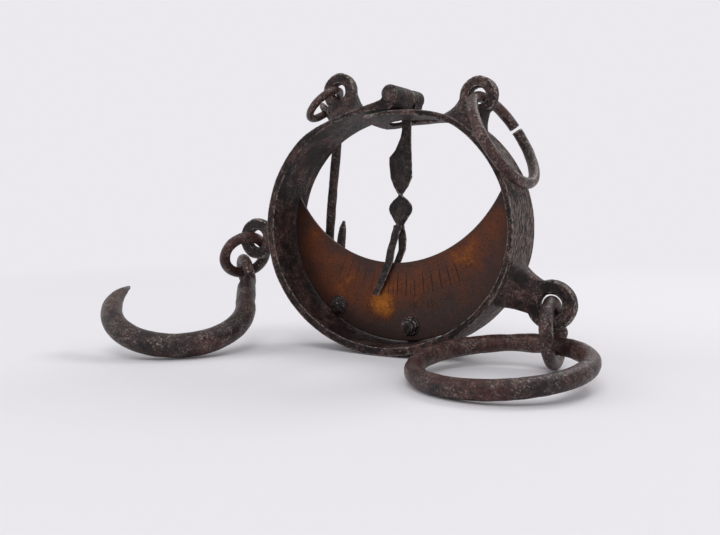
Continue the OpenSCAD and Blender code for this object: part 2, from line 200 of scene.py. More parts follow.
def slab(points: Sequence[XZ], y0: float, y1: float) -> BMesh:
    """Solid with an upright outline, between two depths along Y.

    Args:
        points: Outline as x and z in mm.
        y0: Front.
        y1: Back.

    Returns:
        The new mesh.
    """
    bm = bmesh.new()
    verts = [bm.verts.new((x * MM, y0 * MM, z * MM)) for x, z in points]
    edges = [bm.edges.new(pair) for pair in zip(verts, verts[1:] + verts[:1])]
    bmesh.ops.triangle_fill(bm, use_beauty=False, use_dissolve=False, edges=edges)
    made = bmesh.ops.extrude_face_region(bm, geom=bm.faces[:], use_keep_orig=True)["geom"]
    moved = [g for g in made if isinstance(g, bmesh.types.BMVert)]
    bmesh.ops.translate(bm, verts=moved, vec=(0, (y1 - y0) * MM, 0))
    bmesh.ops.recalc_face_normals(bm, faces=bm.faces[:])
    return bm


def turned(profile: Sequence[XZ], steps: int = 64, closed: bool = False) -> BMesh:
    """Turns a profile of radius and height round Z.

    Args:
        profile: Pairs of radius and height in mm.
        steps: Steps of the full turn.
        closed: Whether the last point joins the first.

    Returns:
        The new closed mesh.
    """
    bm = bmesh.new()
    verts = [bm.verts.new((r * MM, 0, h * MM)) for r, h in profile]
    ends = verts[1:] + verts[:1] if closed else verts[1:]
    edges = [bm.edges.new(pair) for pair in zip(verts, ends)]
    bmesh.ops.spin(
        bm,
        geom=verts + edges,
        axis=(0, 0, 1),
        cent=(0, 0, 0),
        angle=math.tau,
        steps=steps,
        use_merge=True,
    )
    bmesh.ops.remove_doubles(bm, verts=bm.verts[:], dist=1e-7)
    bmesh.ops.recalc_face_normals(bm, faces=bm.faces[:])
    return bm


def wire_ring(radius: float, wire: float, steps: int, sides: int) -> BMesh:
    """Full ring round Z.

    Args:
        radius: Radius of the wire's middle line in mm.
        wire: Radius of the wire in mm.
        steps: Steps round the ring.
        sides: Sides of the wire.

    Returns:
        The new mesh.
    """
    turns = np.linspace(0, math.tau, sides, endpoint=False)
    return turned(arc((radius, 0), wire, turns), steps, closed=True)


def moved(at: Sequence[float]) -> Matrix:
    """Matrix that moves the origin to a place in mm."""
    return Matrix.Translation(Vector(at) * MM)


def rotated(angle: float, axis: str) -> Matrix:
    """Matrix that turns by an angle in degrees round an axis."""
    return Matrix.Rotation(math.radians(angle), 4, axis)


def ring_place(at: Sequence[float], turn: XZ) -> Matrix:
    """Matrix that puts a ring's axis on a compass direction and rise.

    Args:
        at: Middle in mm.
        turn: Direction and rise of the axis in degrees.

    Returns:
        The matrix, with its shift in metres.
    """
    return moved(at) @ rotated(turn[0], "Z") @ rotated(90 - turn[1], "Y")


def facing_front(at: Sequence[float], turn: Optional[Matrix] = None) -> Matrix:
    """Matrix that tips Z to the front and moves a mesh to a place.

    Args:
        at: The place in mm.
        turn: A turn that follows the tipping.

    Returns:
        The matrix, with its shift in metres.
    """
    tip = rotated(90, "X")
    return moved(at) @ (turn @ tip if turn else tip)


def placed(bm: BMesh, place: Matrix) -> BMesh:
    """Moves a whole mesh by a matrix and returns it."""
    bmesh.ops.transform(bm, matrix=place, verts=bm.verts[:])
    return bm


def shown_in_scene(data: bpy.types.ID) -> bpy.types.Object:
    """Links a new object with this data into the scene."""
    made = bpy.data.objects.new(data.name, data)
    bpy.context.scene.collection.objects.link(made)
    return made


def evaluated(scratch: bpy.types.Object) -> Mesh:
    """Mesh of a scratch object with its modifiers; the object is removed."""
    graph = bpy.context.evaluated_depsgraph_get()
    mesh = bpy.data.meshes.new_from_object(scratch.evaluated_get(graph))
    bpy.data.objects.remove(scratch)
    return mesh


def from_curve(curve: bpy.types.Curve) -> BMesh:
    """Mesh of a curve or text; the curve is removed."""
    mesh = evaluated(shown_in_scene(curve))
    bm = bmesh.new()
    bm.from_mesh(mesh)
    bpy.data.curves.remove(curve)
    bpy.data.meshes.remove(mesh)
    return bm


def swept(points: Sequence[Vector], radii: Sequence[float]) -> BMesh:
    """Round bar along a path, with its own radius at each point.

    Args:
        points: Middle line in mm.
        radii: Radius at each point in mm.

    Returns:
        The new closed mesh.
    """
    curve = bpy.data.curves.new("path", "CURVE")
    curve.dimensions = "3D"
    curve.bevel_depth = MM
    curve.bevel_resolution = 8
    curve.use_fill_caps = True
    spline = curve.splines.new("POLY")
    spline.points.add(len(points) - 1)
    for knot, point, radius in zip(spline.points, points, radii):
        knot.co = (*(Vector(point) * MM), 1)
        knot.radius = radius
    bm = from_curve(curve)
    bmesh.ops.remove_doubles(bm, verts=bm.verts[:], dist=1e-6)
    bmesh.ops.recalc_face_normals(bm, faces=bm.faces[:])
    return bm


@dataclass(frozen=True)
class Section:
    """One section of a loft: place, half length, half depth and fullness."""

    place: Matrix
    half_x: float
    half_y: float
    power: float = 0.7


def lofted(sections: Sequence[Section], sides: int = 32) -> BMesh:
    """Closed solid through rounded sections.

    Args:
        sections: The sections in order.
        sides: Corners of each.

    Returns:
        The new mesh.
    """
    bm = bmesh.new()
    rings: list[list[bmesh.types.BMEdge]] = []
    for number, section in enumerate(sections):
        ends = number in (0, len(sections) - 1)
        verts = bmesh.ops.create_circle(bm, cap_ends=ends, segments=sides, radius=1)["verts"]
        rings.append(list({e for v in verts for e in v.link_edges}))
        for vert in verts:
            x, y = vert.co.x, vert.co.y
            side = math.copysign(abs(x) ** section.power, x) * section.half_x
            deep = math.copysign(abs(y) ** section.power, y) * section.half_y
            vert.co = section.place @ (Vector((side, deep, 0)) * MM)
    for below, above in zip(rings, rings[1:]):
        bmesh.ops.bridge_loops(bm, edges=below + above)
    bmesh.ops.recalc_face_normals(bm, faces=bm.faces[:])
    return bm


def columns_matrix(*columns: Vector) -> Matrix:
    """Turn whose columns are three directions."""
    return Matrix([[c[row] for c in columns] for row in range(3)]).to_4x4()


def upright_place(foot: Vector, direction: Vector) -> Matrix:
    """Frame at a foot whose Z points along an upright direction and whose Y stays."""
    up = direction.normalized()
    back = Vector((0, 1, 0))
    return moved(foot) @ columns_matrix(back.cross(up), back, up)


def joined(parts: Sequence[BMesh]) -> Mesh:
    """Joins meshes into one new mesh and frees them."""
    mesh = bpy.data.meshes.new("joined")
    whole = bmesh.new()
    for part in parts:
        part.to_mesh(mesh)
        part.free()
        whole.from_mesh(mesh)
    whole.to_mesh(mesh)
    whole.free()
    return mesh


# Forged surfaces


@dataclass(frozen=True)
class Forging:
    """How a hand-forged piece is skinned and marked, sizes in mm."""

    voxel: float = 0.4
    passes: int = 6
    dent: float = 0.22
    dent_size: float = 8.0
    pit: float = 0.07
    pit_size: float = 1.7
    streak: float = 0.0
    seed: float = 0.0


def fused(
    parts: Sequence[BMesh],
    forging: Forging,
    cutters: Sequence[BMesh] = (),
) -> Mesh:
    """Joins closed solids into one skin with softened edges.

    Args:
        parts: Solids that overlap where they join.
        forging: Fineness of the skin.
        cutters: Solids taken away first.

    Returns:
        The new mesh.
    """
    body = shown_in_scene(joined(parts))
    tools = [shown_in_scene(joined([cutter])) for cutter in cutters]
    for tool in tools:
        cut = body.modifiers.new("cut", "BOOLEAN")
        cut.operation = "DIFFERENCE"
        cut.solver = "EXACT"
        cut.use_self = True
        cut.object = tool
    skin = body.modifiers.new("skin", "REMESH")
    skin.mode = "VOXEL"
    skin.voxel_size = forging.voxel * MM
    soft = body.modifiers.new("soft", "SMOOTH")
    soft.factor = 0.5
    soft.iterations = forging.passes
    old = [body.data] + [tool.data for tool in tools]
    mesh = evaluated(body)
    for tool in tools:
        bpy.data.objects.remove(tool)
    for data in old:
        bpy.data.meshes.remove(data)
    return mesh


def hammered(
    parts: Sequence[BMesh], forging: Forging, cutters: Sequence[BMesh] = ()
) -> Mesh:
    """Skin of a forged piece with its marks.

    Args:
        parts: Solids that overlap where they join.
        forging: Fineness of the skin and its marks.
        cutters: Solids taken away first.

    Returns:
        The new mesh.
    """
    return marked(fused(parts, forging, cutters), forging)


def arrays(mesh: Mesh) -> tuple[np.ndarray, np.ndarray]:
    """Places and normals of a mesh's vertices as rows."""
    places = np.empty(len(mesh.vertices) * 3, np.float32)
    normals = np.empty(len(mesh.vertices) * 3, np.float32)
    mesh.vertices.foreach_get("co", places)
    mesh.vertex_normals.foreach_get("vector", normals)
    return places.reshape(-1, 3), normals.reshape(-1, 3)


def along_hoop(places: np.ndarray) -> np.ndarray:
    """Length along the hoop, depth across it and distance from its middle, in metres.

    The barrel has no distance, so that it shows as little forging grain as the inner face.
    """
    x = places[:, 0] / HOOP_RX
    z = (places[:, 2] - HOOP_RZ * MM) / HOOP_RZ
    angle = np.mod(np.arctan2(z, x) - math.pi / 2 + math.tau, math.tau)
    mean = (HOOP_RX + HOOP_RZ) / 2 * MM
    away = np.hypot(places[:, 0] - BARREL[0] * MM, places[:, 2] - BARREL[1] * MM)
    reach = np.where(away < BARREL_REACH * MM, 0, np.hypot(x, z) * mean / MM)
    return np.stack([angle * mean, places[:, 1], reach], axis=1)


def marked(mesh: Mesh, forging: Forging) -> Mesh:
    """Hammers dents, streaks and pits into a skin, mostly inward.

    Args:
        mesh: The skin.
        forging: Depth and size of the marks.

    Returns:
        The same mesh.
    """
    places, normals = arrays(mesh)
    seed = Vector((forging.seed, 2 * forging.seed, -forging.seed))
    run = along_hoop(places) if forging.streak else places
    shift = np.zeros(len(places))
    for i, place in enumerate(places):
        p = Vector(place) / MM
        dent = noise.noise(p / forging.dent_size + seed)
        pit = noise.noise(p / forging.pit_size - seed)
        shift[i] = forging.dent * (0.5 * dent - 0.25) - forging.pit * abs(pit)
        if forging.streak:
            s, y, reach = run[i] / MM
            grain = noise.noise(Vector((s / GRAIN_SIZE[0], y / GRAIN_SIZE[1], seed.x)))
            shift[i] -= forging.streak * lookup(GRAIN_SHARE, reach) * (0.5 + grain)
    places = places + normals * (shift * MM)[:, None]
    mesh.vertices.foreach_set("co", places.astype(np.float32).ravel())
    mesh.update()
    return mesh


def worn(mesh: Mesh, radius: float) -> Mesh:
    """Stores how far each vertex stands out as the attribute wear.

    Args:
        mesh: The skin.
        radius: Edges sharper than this radius in mm count as fully worn.

    Returns:
        The same mesh.
    """
    places, normals = arrays(mesh)
    pairs = np.empty(len(mesh.edges) * 2, np.int32)
    mesh.edges.foreach_get("vertices", pairs)
    first, second = pairs.reshape(-1, 2).T
    step = places[second] - places[first]
    square = np.maximum((step**2).sum(1), 1e-12)
    total = np.zeros(len(places))
    count = np.zeros(len(places))
    np.add.at(total, first, -(step * normals[first]).sum(1) / square)
    np.add.at(total, second, (step * normals[second]).sum(1) / square)
    np.add.at(count, first, 1)
    np.add.at(count, second, 1)
    bend = total / np.maximum(count, 1)
    # Four rounds of averaging turn single sharp points into soft worn edges
    for _ in range(4):
        around = np.zeros(len(places))
        np.add.at(around, first, bend[second])
        np.add.at(around, second, bend[first])
        bend = 0.5 * bend + 0.5 * around / np.maximum(count, 1)
    full = 1 / (4 * radius * MM)
    store(mesh, "wear", np.clip((bend - np.median(bend)) / full, 0, 1))
    return mesh


def store(mesh: Mesh, name: str, values: np.ndarray) -> None:
    """Writes one number for each vertex as an attribute."""
    spot = mesh.attributes.new(name, "FLOAT", "POINT")
    spot.data.foreach_set("value", values.astype(np.float32))


def store_run(mesh: Mesh) -> None:
    """Writes the place along the hoop as the vector attribute run."""
    places, _ = arrays(mesh)
    spot = mesh.attributes.new("run", "FLOAT_VECTOR", "POINT")
    spot.data.foreach_set("vector", along_hoop(places).astype(np.float32).ravel())


def show(
    name: str,
    mesh: Mesh,
    look: Material,
    body: Body,
    nodes: Sequence[str] = (),
) -> None:
    """Makes a finished mesh a piece of the object.

    Args:
        name: Name of the piece.
        mesh: Its mesh, in place.
        look: Its material.
        body: The body that it rides on.
        nodes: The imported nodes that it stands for.
    """
    mesh.name = name
    mesh.materials.clear()
    mesh.materials.append(look)
    mesh.shade_smooth()
    made = shown_in_scene(mesh)
    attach(made, body.value)
    if nodes:
        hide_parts(*nodes)
    LOG.info("%s: %d faces on %s", name, len(mesh.polygons), body.value)


# Finishes


def feed(tree: Tree, node: Node, inputs: dict) -> None:
    """Gives a node's inputs their values, or links them to the outputs that feed them."""
    for key, value in inputs.items():
        if isinstance(value, Socket):
            tree.links.new(value, node.inputs[key])
        else:
            node.inputs[key].default_value = value


def add(tree: Tree, kind: str, inputs: Optional[dict] = None, **settings: object) -> Node:
    """Adds a shader node with its settings, values and links.

    Args:
        tree: The node tree.
        kind: Node type without its prefix.
        inputs: For each input by name or number a value, or an output that feeds it.
        settings: Values of the node's own properties.

    Returns:
        The new node.
    """
    made = tree.nodes.new("ShaderNode" + kind)
    for name, value in settings.items():
        setattr(made, name, value)
    feed(tree, made, inputs or {})
    return made


def attribute(tree: Tree, name: str, output: str = "Fac") -> Socket:
    """Value of a mesh attribute."""
    return add(tree, "Attribute", attribute_name=name).outputs[output]


def ramp(tree: Tree, factor: Socket, stops: Sequence[tuple[float, str]]) -> Socket:
    """Colour ramp from pairs of place and hex colour, and returns its colour."""
    made = add(tree, "ValToRGB", {"Fac": factor})
    points = made.color_ramp.elements
    while len(points) < len(stops):
        points.new(0.5)
    for point, (place, code) in zip(points, stops):
        point.position = place
        point.color = linear(code)
    return made.outputs["Color"]


def grains(
    tree: Tree, where: Socket, size_mm: float, detail: float = 4, rough: float = 0.6
) -> Socket:
    """Noise whose largest grains have a size in mm."""
    inputs = {"Vector": where, "Scale": 1 / (size_mm * MM), "Detail": detail, "Roughness": rough}
    return add(tree, "TexNoise", inputs).outputs["Fac"]


def blend(
    tree: Tree, factor: object, first: object, second: object, mode: str = "MIX"
) -> Socket:
    """Mixes two colours and returns the result."""
    inputs = {0: factor, 6: first, 7: second}
    return add(tree, "Mix", inputs, data_type="RGBA", blend_type=mode).outputs[2]


def span(
    tree: Tree, value: Socket, low: float, high: float, to_low: float = 0.0, to_high: float = 1.0
) -> Socket:
    """Maps a range of a value onto another one, clamped."""
    inputs = {"Value": value, 1: low, 2: high, 3: to_low, 4: to_high}
    return add(tree, "MapRange", inputs).outputs[0]


def combine(tree: Tree, how: str, first: Socket, second: Socket) -> Socket:
    """Result of a math operation on two values."""
    return add(tree, "Math", {0: first, 1: second}, operation=how).outputs[0]


@dataclass(frozen=True)
class Finish:
    """What all finishes share: a named material that is filled with nodes."""

    name: str

    def material(self) -> Material:
        """Builds the material and returns it."""
        made = bpy.data.materials.new(self.name)
        made.use_nodes = True
        tree = made.node_tree
        where = add(tree, "TexCoord").outputs["Object"]
        self.fill(tree, tree.nodes["Principled BSDF"], where)
        return made

    def fill(self, tree: Tree, shader: Node, where: Socket) -> None:
        """Adds the finish's own nodes.

        Args:
            tree: The material's node tree.
            shader: Its main shader.
            where: Object coordinates.
        """
        raise NotImplementedError


@dataclass(frozen=True)
class IronFinish(Finish):
    """Hand-forged wrought iron: matt dark patina that rust, pits and bare grey spots break up."""

    dark: str = "#2c1b1a"
    brown: str = "#4f302b"
    rust: str = "#6b4238"
    grey: str = "#ada29a"
    thinned: str = "#7c6a62"
    ridge: str = "#8f7a70"
    rust_share: float = 0.5
    wear_share: float = 0.6
    flecks: float = 0.5
    pits: float = 0.7
    gloss: float = 0.46
    shine: float = 0.34
    relief: float = 0.8
    streaked: bool = False
    patch_mm: float = 14.0
    cloud_mm: float = 7.0
    mottle_mm: float = 2.6
    rub_mm: float = 1.6
    pit_mm: float = 1.3
    fine_mm: float = 1.0
    speck_mm: float = 0.9

    def fill(self, tree: Tree, shader: Node, where: Socket) -> None:
        """Adds the iron's own nodes.

        Args:
            tree: The material's node tree.
            shader: Its main shader.
            where: Object coordinates.
        """
        # Mottling keeps the surface from looking painted
        mottle = grains(tree, where, self.mottle_mm, 6, 0.75)
        base = self._patina(tree, where, mottle)
        height = grains(tree, where, self.fine_mm, 5, 0.7)
        broad = span(tree, grains(tree, where, self.cloud_mm, 5, 0.65), 0.42, 0.60)
        if self.streaked:
            base, lines = self._grained(tree, base)
            height = combine(tree, "ADD", height, lines)
            broad = combine(tree, "MULTIPLY", broad, span(tree, lines, 0.44, 0.6, 0.3, 1.0))
        # Corroded pits are darker than the skin round them
        pits = grains(tree, where, self.pit_mm, 3, 0.6)
        holes = span(tree, pits, 0.38, 0.50, 1.0 - 0.8 * self.pits, 1.0)
        base = blend(tree, 1.0, base, holes, "MULTIPLY")
        # Small flecks of bare grey metal lie between the pits
        specks = grains(tree, where, self.speck_mm, 5, 0.75)
        bare = combine(tree, "MULTIPLY", span(tree, specks, 0.52, 0.64, 0, self.flecks), broad)
        # Handled edges show the same metal, broken up
        broken = span(tree, grains(tree, where, self.rub_mm, 5, 0.75), 0.44, 0.60)
        edge = span(tree, attribute(tree, "wear"), 1 - self.wear_share, 1.3 - self.wear_share)
        shown = combine(tree, "MAXIMUM", bare, combine(tree, "MULTIPLY", edge, broken))
        # Round the flecks the skin is rubbed thin and paler
        thin = combine(tree, "MULTIPLY", broad, span(tree, mottle, 0.4, 0.65, 0, 0.25))
        base = blend(tree, thin, base, linear(self.thinned))
        base = blend(tree, shown, base, linear(self.grey))
        relief = combine(tree, "ADD", height, pits)
        bump = {"Height": relief, "Strength": self.relief, "Distance": 0.6 * MM}
        # A rusted skin throws back less light than a clean one
        feed(tree, shader, {
            "Base Color": base,
            "Metallic": span(tree, shown, 0, 1, 0.0, 0.75),
            "Roughness": span(tree, specks, 0.3, 0.7, self.gloss + 0.2, self.gloss),
            "Specular IOR Level": self.shine,
            "Normal": add(tree, "Bump", bump).outputs[0],
        })

    def _grained(self, tree: Tree, base: Socket) -> tuple[Socket, Socket]:
        """Draws the forging grain along the band.

        Args:
            tree: The material's node tree.
            base: The colour under it.

        Returns:
            The new colour, and the grain itself.
        """
        run = attribute(tree, "run", "Vector")
        drawn = add(tree, "Mapping", {"Vector": run, "Scale": (0.25, 1, 1)}).outputs[0]
        lines = grains(tree, drawn, self.speck_mm, 6, 0.75)
        # The band's outer face shows more of it than its inner face and the barrel
        reach = add(tree, "SeparateXYZ", {"Vector": run}).outputs["Z"]
        outer = span(tree, reach, OUTER_FACE[0] * MM, OUTER_FACE[1] * MM)
        furrows = ramp(tree, lines, [(0.42, "#1a1312"), (0.55, "#ffffff")])
        base = blend(tree, span(tree, outer, 0, 1, 0.3, 0.9), base, furrows, "MULTIPLY")
        # On the outer face the ridges of the grain are scoured pale
        pale = combine(tree, "MULTIPLY", outer, span(tree, lines, 0.5, 0.58, 0, 0.9))
        return blend(tree, pale, base, linear(self.ridge)), lines

    def _patina(self, tree: Tree, where: Socket, mottle: Socket) -> Socket:
        """Dark patina with reddish patches, darkened by the mottling."""
        low = 0.60 - 0.3 * self.rust_share
        stops = [(low, self.dark), (low + 0.1, self.brown), (low + 0.26, self.rust)]
        # Broad patches tell dark patina from rust
        base = ramp(tree, grains(tree, where, self.patch_mm, 6, 0.65), stops)
        spots = ramp(tree, mottle, [(0.32, "#585250"), (0.68, "#ffffff")])
        return blend(tree, 0.9, base, spots, "MULTIPLY")


@dataclass(frozen=True)
class BrassFinish(Finish):
    """Rolled brass sheet: tarnished brown, darkened by painted shade along the band and by dark
    patches, with painted highlights where it is rubbed warm.
    """

    tarnish: str = "#43241b"
    brown: str = "#6e3a1e"
    # Colour of the painted highlights on rubbed brass
    bright: str = "#c0752e"
    # Colour of the painted shade and the dark patches
    painted_shade_and_spots: str = "#32241f"
    cloud_mm: float = 9.0
    # Size of the noise that breaks up the painted shade and the dark patches
    darkening_mm: float = 4.0
    speck_mm: float = 0.9

    def fill(self, tree: Tree, shader: Node, where: Socket) -> None:
        """Adds the brass's own nodes.

        Args:
            tree: The material's node tree.
            shader: Its main shader.
            where: Object coordinates.
        """
        # This attribute says where the sheet is rubbed warm and where painted highlights stand in
        # for its reflections
        clouds = span(tree, grains(tree, where, self.cloud_mm, 5), 0.3, 0.7, -0.22, 0.22)
        glow = combine(tree, "ADD", attribute(tree, "polish_and_highlight"), clouds)
        base = ramp(tree, glow, [(0.05, self.tarnish), (0.45, self.brown), (0.95, self.bright)])
        # Grey-brown darkening covers the metal in places: painted shade along the band, a darker
        # upper edge and dark patches
        film = span(tree, grains(tree, where, self.darkening_mm, 6, 0.7), 0.35, 0.6, 0.35, 1.0)
        shade_and_spots_cover = combine(tree, "MULTIPLY", attribute(tree, "painted_shade_and_spots"), film)
        base = blend(tree, shade_and_spots_cover, base, linear(self.painted_shade_and_spots))
        # Dark specks stand for corroded points
        specks = grains(tree, where, self.speck_mm, 4)
        dots = ramp(tree, specks, [(0.34, "#6a5a50"), (0.5, "#ffffff")])
        bump = {"Height": specks, "Strength": 0.25, "Distance": 0.2 * MM}
        feed(tree, shader, {
            "Base Color": blend(tree, 0.5, base, dots, "MULTIPLY"),
            "Metallic": span(tree, glow, 0.1, 0.8, 0.3, 0.85),
            "Roughness": span(tree, specks, 0.3, 0.7, 0.55, 0.38),
            "Normal": add(tree, "Bump", bump).outputs[0],
        })


@dataclass(frozen=True)
class InkFinish(Finish):
    """Dry dirt that fills the engraved strokes of the dial, uneven along each stroke."""

    colour: str = "#1c110c"
    faded: str = "#3a2113"
    patch_mm: float = 1.5

    def fill(self, tree: Tree, shader: Node, where: Socket) -> None:
        """Adds the dirt's own nodes."""
        patches = grains(tree, where, self.patch_mm, 3)
        colour = ramp(tree, patches, [(0.35, self.colour), (0.7, self.faded)])
        feed(tree, shader, {"Base Color": colour, "Roughness": 0.85})


@dataclass(frozen=True)
class PaperFinish(Finish):
    """Matt white paper under the object; far away it has the backdrop's own colour."""

    colour: str = "#ebe9ec"
    backdrop: str = "#ebe9ee"
    fade: XZ = (0.22, 0.7)

    def fill(self, tree: Tree, shader: Node, where: Socket) -> None:
        """Adds the paper's own nodes."""
        feed(tree, shader, {"Base Color": linear(self.colour), "Roughness": 0.9})
        away = add(tree, "VectorMath", {0: where}, operation="LENGTH").outputs["Value"]
        glow = add(tree, "Emission", {"Color": linear(self.backdrop), "Strength": 1.0})
        inputs = {0: span(tree, away, *self.fade), 1: shader.outputs[0], 2: glow.outputs[0]}
        mixed = add(tree, "MixShader", inputs)
        feed(tree, tree.nodes["Material Output"], {"Surface": mixed.outputs[0]})


# Sub-assemblies


@dataclass
class Hoop:
    """The spring: two arms of one forged band, split below at its bend."""

    seam: float = 360 - FLEX_ANGLE
    overlap: float = 3.0
    curl_outer: float = 4.1
    curl_inner: float = 1.75
    curl_turn: XZ = (-118, 222)
    gap: XZ = (3.3, 6.7)
    slot_x: XZ = (-4.0, 21.0)
    slot_y: XZ = (1.4, 8.6)
    slot_z: XZ = (96, 130)
    tongue_angle: float = 108.0
    end_x: float = -10.0
    end_z: XZ = (90, 130)
    corner: float = 5.0
    droop: float = 2.4
    cut_below: float = 30.0

    def build(self, look: Material) -> None:
        """Builds both arms.

        Args:
            look: Their iron.
        """
        forging = Forging(voxel=0.45, passes=5, dent=0.3, dent_size=10, pit=0.06, streak=0.16)
        left = hammered(self._left_parts(), forging)
        right = hammered([self._right_blank()], forging, [self._slot(), self._end()])
        for name, mesh, body, keep in (
            ("hoop_left", left, Body.FRAME, -1),
            ("hoop_right", right, Body.RIGHT_ARM, 1),
        ):
            self._cut_at_seam(mesh, keep)
            worn(mesh, 1.1)
            store_run(mesh)
            show(name, mesh, look, body, [name + "_arm"])

    def _left_parts(self) -> list[BMesh]:
        """Band of the left arm and its rolled end on both sides of the gap."""
        band = arm_outline(92, self.seam + self.overlap, left_depths)
        # The band itself ends below the barrel
        parts = [slab(band + [(1.9, 115.2), (1.9, 111.5)], -HALF_BAND, HALF_BAND)]
        # The strap passes below the barrel and turns up on its far side
        tail = [
            (-1.0, 114.9), (1.6, 115.6), (3.4, 116.6), (6.2, 115.9), (8.9, 115.6), (9.3, 114.6),
            (8.9, 113.2), (7.8, 111.9), (5.6, 110.8), (-1.0, 110.8),
        ]
        turns = np.radians(np.linspace(*self.curl_turn, 64))
        curl = arc(BARREL, self.curl_outer, turns) + arc(BARREL, self.curl_inner, turns[::-1])
        for y0, y1 in ((-HALF_BAND, self.gap[0]), (self.gap[1], HALF_BAND)):
            parts.append(slab(tail, y0, y1))
            parts.append(slab(curl, y0, y1))
        return parts

    def _right_blank(self) -> BMesh:
        """Band of the right arm with its tongue, still uncut."""
        first = -FLEX_ANGLE - self.overlap
        blank = slab(arm_outline(first, self.tongue_angle, right_depths), -HALF_BAND, HALF_BAND)
        # The tongue sags toward the back
        for vert in blank.verts:
            if vert.co.y > 0 and vert.co.z > HOOP_RZ * MM:
                vert.co.z -= self.droop * MM * ease((30 - vert.co.x / MM) / 25)
        return blank

    def _slot(self) -> BMesh:
        """Cutter of the pointer's slot, with round ends."""
        middle = sum(self.slot_y) / 2
        r = (self.slot_y[1] - self.slot_y[0]) / 2
        turns = np.radians(np.linspace(-90, 90, 13))
        right = arc((self.slot_x[1] - r, middle), r, turns)
        left = arc((self.slot_x[0] + r, middle), -r, turns)
        return self._plan(right + left, *self.slot_z)

    def _end(self) -> BMesh:
        """Cutter of the tongue's square end with its round corners."""
        x, y = self.end_x + self.corner, HALF_BAND - self.corner
        round_corner = arc((x, y), self.corner, np.radians(np.linspace(180, 90, 9)))
        rear = round_corner + [(x, 22.0), (-80.0, 22.0)]
        return self._plan(rear + [(px, -py) for px, py in rear[::-1]], *self.end_z)

    def _plan(self, points: Sequence[XZ], low: float, high: float) -> BMesh:
        """Solid with an outline in plan between two heights."""
        flat = slab([(x, -y) for x, y in points], low, high)
        return placed(flat, rotated(90, "X"))

    def _cut_at_seam(self, mesh: Mesh, keep: int) -> None:
        """Cuts an arm flat at the seam, where the other arm carries on.

        Args:
            mesh: The arm.
            keep: 1 keeps the side of the right arm, -1 the left one.
        """
        bm = bmesh.new()
        bm.from_mesh(mesh)
        t = math.radians(self.seam)
        along = Vector((-HOOP_RX * math.sin(t), 0, HOOP_RZ * math.cos(t)))
        top = self.cut_below * MM
        geom = [v for v in bm.verts if v.co.z < top]
        for part in (bm.edges, bm.faces):
            geom += [g for g in part if all(v.co.z < top for v in g.verts)]
        centre = rim(self.seam) * MM
        bmesh.ops.bisect_plane(
            bm, geom=geom, plane_co=centre, plane_no=along * keep, clear_inner=False
        )
        side = along.normalized() * keep
        # Only the end that overlaps the other arm goes
        gone = []
        for face in bm.faces:
            middle = face.calc_center_median()
            away = middle - centre
            if away.dot(side) < 0 and away.length < 25 * MM and middle.z < 12 * MM:
                gone.append(face)
        bmesh.ops.delete(bm, geom=gone, context="FACES")
        bmesh.ops.holes_fill(bm, edges=[e for e in bm.edges if e.is_boundary], sides=0)
        bm.to_mesh(mesh)
        bm.free()
        mesh.update()


@dataclass(frozen=True)
class Lug:
    """Pierced plate on a flared foot, forged on the hoop."""

    name: str
    node: str
    body: Body
    foot: float
    hole: XZ
    bore: float
    head: float = 9.5
    half_thick: float = 2.3
    neck: float = 7.5
    foot_long: float = 10.5
    foot_deep: float = 12.2
    lean: float = 0.0
    rounding: float = 0.7
    countersink: float = 0.8
    sunk: float = 1.4
    flare: float = 2.4
    fullness: float = 0.62
    steps: int = 8
    seed: float = 0.0

    def build(self, look: Material) -> None:
        """Builds the lug.

        Args:
            look: Its iron.
        """
        depths = left_depths if self.body is Body.FRAME else right_depths
        foot = inside(self.foot, depths(self.foot)[0])
        hole = Vector((self.hole[0], 0, self.hole[1]))
        place = upright_place(foot, hole - foot)
        height = (hole - foot).length
        sections = []
        for i in range(self.steps + 1):
            t = i / self.steps
            flare = (1 - t) ** self.flare
            half = self.neck + (self.foot_long - self.neck) * flare
            deep = self.half_thick + (self.foot_deep - self.half_thick) * flare
            rise = -self.sunk + (height + self.sunk) * t
            middle = place @ moved((self.lean * flare, 0, rise))
            sections.append(Section(middle, half, deep, self.fullness))
        raised = place @ Matrix.Translation((0, 0, height * MM))
        level = raised @ rotated(90, "X")
        head = placed(turned(self._side(self.head, -self.rounding)), level)
        bore = placed(turned(self._side(self.bore, self.countersink, past=4.0)), level)
        forging = Forging(voxel=0.38, passes=5, dent=0.45, dent_size=6, pit=0.18, seed=self.seed)
        mesh = hammered([lofted(sections), head], forging, [bore])
        show(self.name, worn(mesh, 1.0), look, self.body, [self.node])

    def _side(self, radius: float, edge: float, past: float = 0.0) -> list[XZ]:
        """Profile of a round plate or of the tool that pierces it.

        Args:
            radius: Its radius in mm.
            edge: Growth of the radius at both faces of the plate.
            past: Length that it reaches past both faces.

        Returns:
            Pairs of radius and height.
        """
        face, inner = self.half_thick, self.half_thick - abs(edge)
        half = [
            (0, face + past), (radius + edge, face + past), (radius + edge, face), (radius, inner),
        ]
        return half + [(r, -h) for r, h in half[::-1]]


